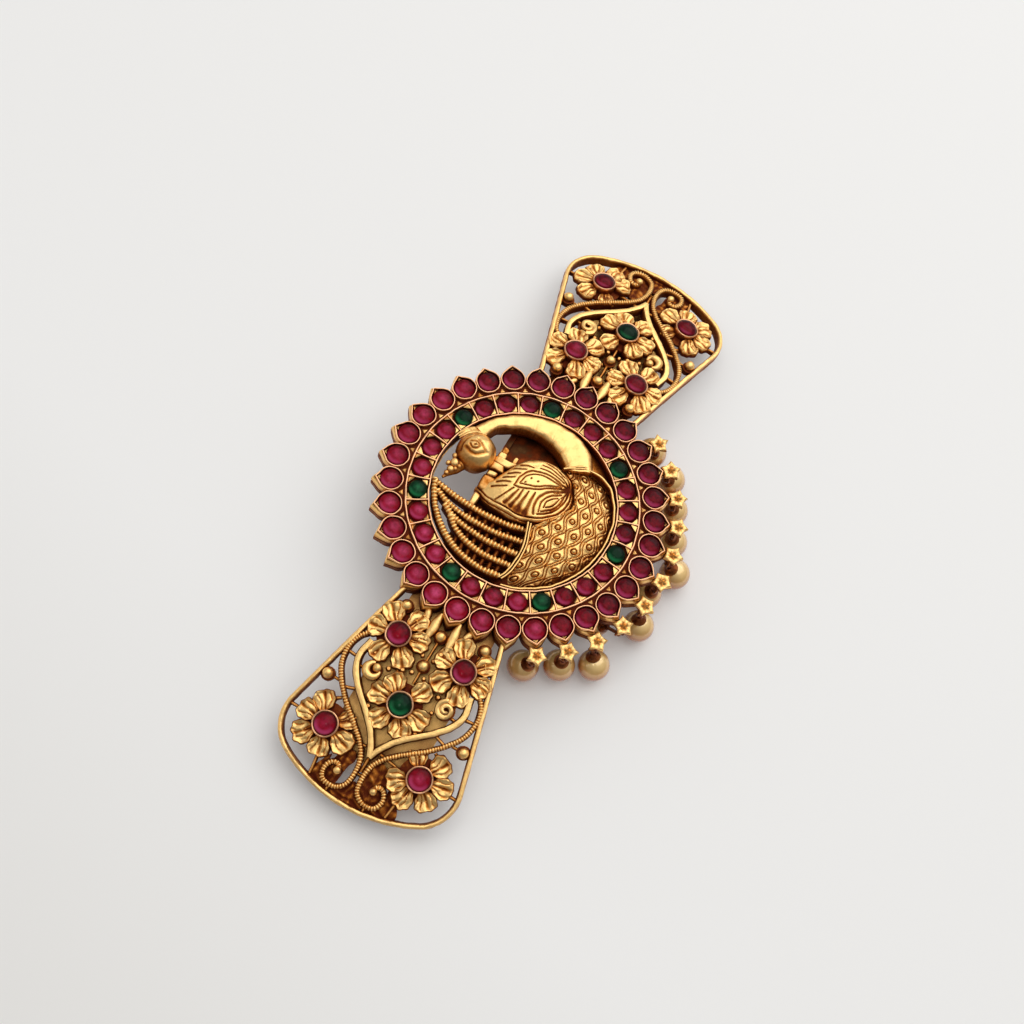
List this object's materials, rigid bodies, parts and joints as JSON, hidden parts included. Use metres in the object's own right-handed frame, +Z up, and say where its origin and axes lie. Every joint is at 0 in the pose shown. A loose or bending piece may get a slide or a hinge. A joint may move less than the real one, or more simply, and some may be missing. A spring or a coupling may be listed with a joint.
{
  "type": "hair clip",
  "caption": "Arched hair clip with a round stone-set medallion, a peacock in its opening, two pierced wings and pearl drops.",
  "frame": {"origin": "on the surface that the clip rests on, at the middle of the clasp's flat underside, below the medallion's centre", "axes": "+X along the clip, +Y across it and away from the pearls, +Z up through the medallion's face"},
  "size_m": [0.1026, 0.0501, 0.0135],
  "materials": {
    "antique_gold": "antique gold plate, dark in the recesses",
    "dark_metal": "dark brown oxidised metal",
    "clasp_metal": "plain gold-coloured steel",
    "ruby": "polished red cabochon",
    "emerald": "polished green cabochon",
    "pearl": "lustrous cream-gold pearl"
  },
  "bodies": {
    "root": {"wing_left": "antique_gold", "wing_right": "antique_gold", "medallion": "antique_gold", "peacock": "antique_gold", "clip_strip": "antique_gold", "clasp": "clasp_metal", "outer_rubies": "ruby", "channel_rubies": "ruby", "wing_emerald_left": "emerald", "wing_emerald_right": "emerald", "pearl_pins": "dark_metal", "channel_emerald_1": "emerald", "channel_emerald_2": "emerald", "channel_emerald_3": "emerald", "channel_emerald_4": "emerald", "channel_emerald_5": "emerald", "channel_emerald_6": "emerald", "channel_emerald_7": "emerald", "wing_ruby_left_1": "ruby", "wing_ruby_left_2": "ruby", "wing_ruby_left_3": "ruby", "wing_ruby_left_4": "ruby", "wing_ruby_right_1": "ruby", "wing_ruby_right_2": "ruby", "wing_ruby_right_3": "ruby", "wing_ruby_right_4": "ruby", "pearl_1": "pearl", "pearl_2": "pearl", "pearl_3": "pearl", "pearl_4": "pearl", "pearl_5": "pearl", "pearl_6": "pearl", "pearl_7": "pearl", "pearl_8": "pearl", "pearl_9": "pearl", "pearl_10": "pearl", "pearl_11": "pearl"}
  },
  "joints": []
}
